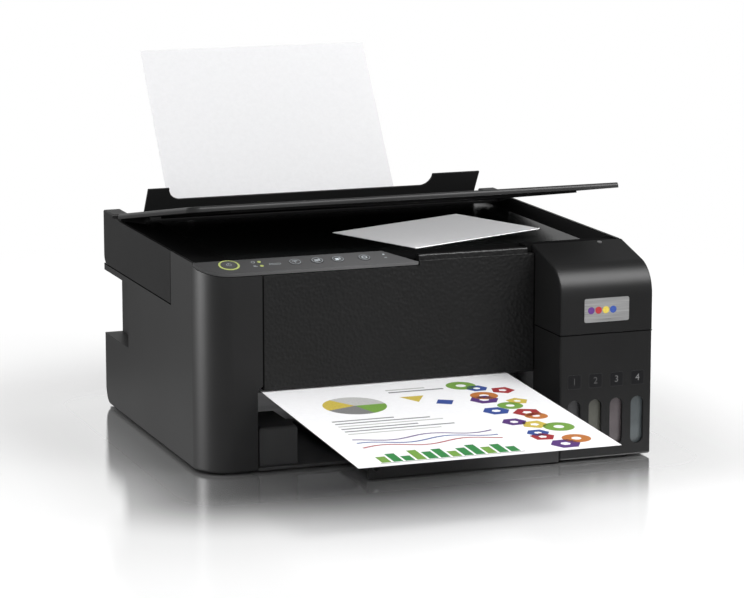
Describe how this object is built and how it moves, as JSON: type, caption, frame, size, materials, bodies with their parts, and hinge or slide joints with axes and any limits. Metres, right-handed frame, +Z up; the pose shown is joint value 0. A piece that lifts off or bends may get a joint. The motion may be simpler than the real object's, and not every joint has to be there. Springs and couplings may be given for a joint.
{
  "type": "ink-tank inkjet printer",
  "caption": "Black desktop inkjet printer with side ink tanks, rear paper feed, sloping button strip, pull-out tray and flatbed scanner lid.",
  "frame": {"origin": "on the desk surface, under the middle of the whole machine with its loaded and printed sheets", "axes": "+X to the machine's right, +Y to its rear, +Z up"},
  "size_m": [0.375, 0.6059, 0.3072],
  "materials": {
    "case_black": "fine-grained moulding",
    "front_black": "pebbled moulding",
    "strip_grey": "satin",
    "button_grey": "satin",
    "light_green": "translucent, lit",
    "tank_smoke": "translucent",
    "cap_black": "matte",
    "foot_rubber": "matte",
    "roller_rubber": "matte",
    "gear_white": "moulded",
    "pinion_brass": "machined",
    "frame_steel": "rolled sheet",
    "motor_steel": "drawn can",
    "inner_black": "moulded",
    "head_steel": "etched plate",
    "belt_rubber": "toothed belt",
    "board_green": "solder mask",
    "scan_glass": "clear float glass",
    "mat_dark": "foam-backed film",
    "sheet_white": "plain paper"
  },
  "bodies": {
    "base": {"base_pan": "case_black", "feet": "foot_rubber", "left_housing": "case_black", "right_housing": "case_black", "rear_cover": "case_black", "front_cover": "front_black", "control_strip": "strip_grey", "control_board": "board_green", "status_lights": "light_green", "tank_housing": "case_black", "ink_tank_1": "tank_smoke", "ink_tank_2": "tank_smoke", "ink_tank_3": "tank_smoke", "ink_tank_4": "tank_smoke", "tank_caps": "cap_black", "feeder_frame": "case_black", "guard_bar": "case_black", "print_frame": "frame_steel", "feed_motor": "motor_steel", "platen": "inner_black", "wheel_bar": "inner_black", "carriage_rail": "frame_steel", "drive_belt": "belt_rubber", "carriage_motor": "motor_steel", "capping_station": "inner_black", "waste_ink_box": "inner_black", "main_board": "board_green", "power_supply": "inner_black"},
    "ink_cover": {"tank_cover": "case_black"},
    "guard": {"feeder_guard": "case_black"},
    "guide": {"edge_guide": "case_black"},
    "support": {"paper_support": "case_black"},
    "pick": {"pick_roller": "roller_rubber"},
    "waiting_paper": {"feed_sheet": "sheet_white"},
    "printed_paper": {"printed_sheet": "sheet_white"},
    "feed": {"feed_roller": "roller_rubber", "feed_gear": "gear_white"},
    "exit": {"exit_roller": "roller_rubber", "exit_gear": "gear_white"},
    "idler": {"idler_gear": "gear_white"},
    "pinion": {"motor_pinion": "pinion_brass"},
    "carrier": {"carriage": "inner_black", "print_head": "head_steel"},
    "drive_wheel": {"drive_pulley": "gear_white"},
    "idler_wheel": {"idler_pulley": "gear_white"},
    "tray": {"output_tray": "case_black"},
    "stopper": {"tray_stopper": "case_black"},
    "scanner": {"scanner_case": "case_black", "scanner_deck": "case_black", "scan_glass": "scan_glass", "scan_original": "sheet_white"},
    "sensor": {"scan_bar": "inner_black"},
    "scan_lid": {"lid": "case_black", "lid_mat": "mat_dark"},
    "power_key": {"power_button": "button_grey"},
    "network_key": {"network_button": "button_grey"},
    "mono_key": {"mono_copy_button": "button_grey"},
    "colour_key": {"colour_copy_button": "button_grey"},
    "stop_key": {"stop_button": "button_grey"}
  },
  "joints": [
    {"name": "tank_cover_hinge", "type": "hinge", "parent": "base", "child": "ink_cover", "pos_m": [0.146, -0.0695, 0.168], "axis": [-1, 0, 0], "range_deg": [0, 80]},
    {"name": "guard_hinge", "type": "hinge", "parent": "base", "child": "guard", "pos_m": [0.01, 0.207, 0.172], "axis": [-1, 0, 0], "range_deg": [-40, 0]},
    {"name": "edge_guide_slide", "type": "slide", "parent": "base", "child": "guide", "axis": [-1, 0, 0], "range_m": [0, 0.013]},
    {"name": "paper_support_slide", "type": "slide", "parent": "base", "child": "support", "axis": [0, 0.5548, 0.832], "range_m": [-0.09, 0]},
    {"name": "pick_roller_spin", "type": "hinge", "parent": "base", "child": "pick", "pos_m": [0, 0.14981, 0.10384], "axis": [1, 0, 0], "continuous": true},
    {"name": "feed_sheet_slide", "type": "slide", "parent": "base", "child": "waiting_paper", "axis": [0, 0.5548, 0.832], "range_m": [0, 0.15]},
    {"name": "printed_sheet_slide", "type": "slide", "parent": "base", "child": "printed_paper", "axis": [0, -0.999, -0.0441], "range_m": [0, 0.12]},
    {"name": "feed_roller_spin", "type": "hinge", "parent": "base", "child": "feed", "pos_m": [0, 0.053, 0.0632], "axis": [1, 0, 0], "continuous": true},
    {"name": "exit_roller_spin", "type": "hinge", "parent": "base", "child": "exit", "pos_m": [0, -0.044, 0.0632], "axis": [1, 0, 0], "continuous": true},
    {"name": "idler_gear_spin", "type": "hinge", "parent": "base", "child": "idler", "pos_m": [-0.147, 0.0045, 0.0632], "axis": [1, 0, 0], "continuous": true},
    {"name": "motor_pinion_spin", "type": "hinge", "parent": "base", "child": "pinion", "pos_m": [-0.147, 0.06876, 0.0905], "axis": [1, 0, 0], "continuous": true},
    {"name": "carriage_slide", "type": "slide", "parent": "base", "child": "carrier", "axis": [1, 0, 0], "range_m": [-0.235, 0]},
    {"name": "drive_pulley_spin", "type": "hinge", "parent": "base", "child": "drive_wheel", "pos_m": [0.158, 0.077, 0.112], "axis": [0, 0, 1], "continuous": true},
    {"name": "idler_pulley_spin", "type": "hinge", "parent": "base", "child": "idler_wheel", "pos_m": [-0.158, 0.077, 0.112], "axis": [0, 0, 1], "continuous": true},
    {"name": "tray_slide", "type": "slide", "parent": "base", "child": "tray", "axis": [0, -1, 0], "range_m": [0, 0.12]},
    {"name": "tray_stopper_hinge", "type": "hinge", "parent": "tray", "child": "stopper", "pos_m": [0.02, -0.12, 0.0103], "axis": [1, 0, 0], "range_deg": [0, 100]},
    {"name": "scanner_hinge", "type": "hinge", "parent": "base", "child": "scanner", "pos_m": [0, 0.209, 0.1373], "axis": [-1, 0, 0], "range_deg": [0, 20]},
    {"name": "scan_bar_slide", "type": "slide", "parent": "scanner", "child": "sensor", "axis": [1, 0, 0], "range_m": [0, 0.28]},
    {"name": "lid_hinge", "type": "hinge", "parent": "scanner", "child": "scan_lid", "pos_m": [0, 0.176, 0.169], "axis": [1, 0, 0], "range_deg": [-60, 10.2]},
    {"name": "power_press", "type": "slide", "parent": "base", "child": "power_key", "axis": [0, 0.2756, -0.9613], "range_m": [0, 0.0008], "stiffness_N_per_m": 1000},
    {"name": "network_press", "type": "slide", "parent": "base", "child": "network_key", "axis": [0, 0.2756, -0.9613], "range_m": [0, 0.0008], "stiffness_N_per_m": 1000},
    {"name": "mono_copy_press", "type": "slide", "parent": "base", "child": "mono_key", "axis": [0, 0.2756, -0.9613], "range_m": [0, 0.0008], "stiffness_N_per_m": 1000},
    {"name": "colour_copy_press", "type": "slide", "parent": "base", "child": "colour_key", "axis": [0, 0.2756, -0.9613], "range_m": [0, 0.0008], "stiffness_N_per_m": 1000},
    {"name": "stop_press", "type": "slide", "parent": "base", "child": "stop_key", "axis": [0, 0.2756, -0.9613], "range_m": [0, 0.0008], "stiffness_N_per_m": 1000}
  ],
  "couplings": [
    {"joint": "idler_gear_spin", "follows": "feed_roller_spin", "ratio": -1},
    {"joint": "exit_roller_spin", "follows": "feed_roller_spin", "ratio": 1},
    {"joint": "motor_pinion_spin", "follows": "feed_roller_spin", "ratio": -3.3333},
    {"joint": "drive_pulley_spin", "follows": "carriage_slide", "rad_per_m": 180},
    {"joint": "idler_pulley_spin", "follows": "carriage_slide", "rad_per_m": 180}
  ]
}
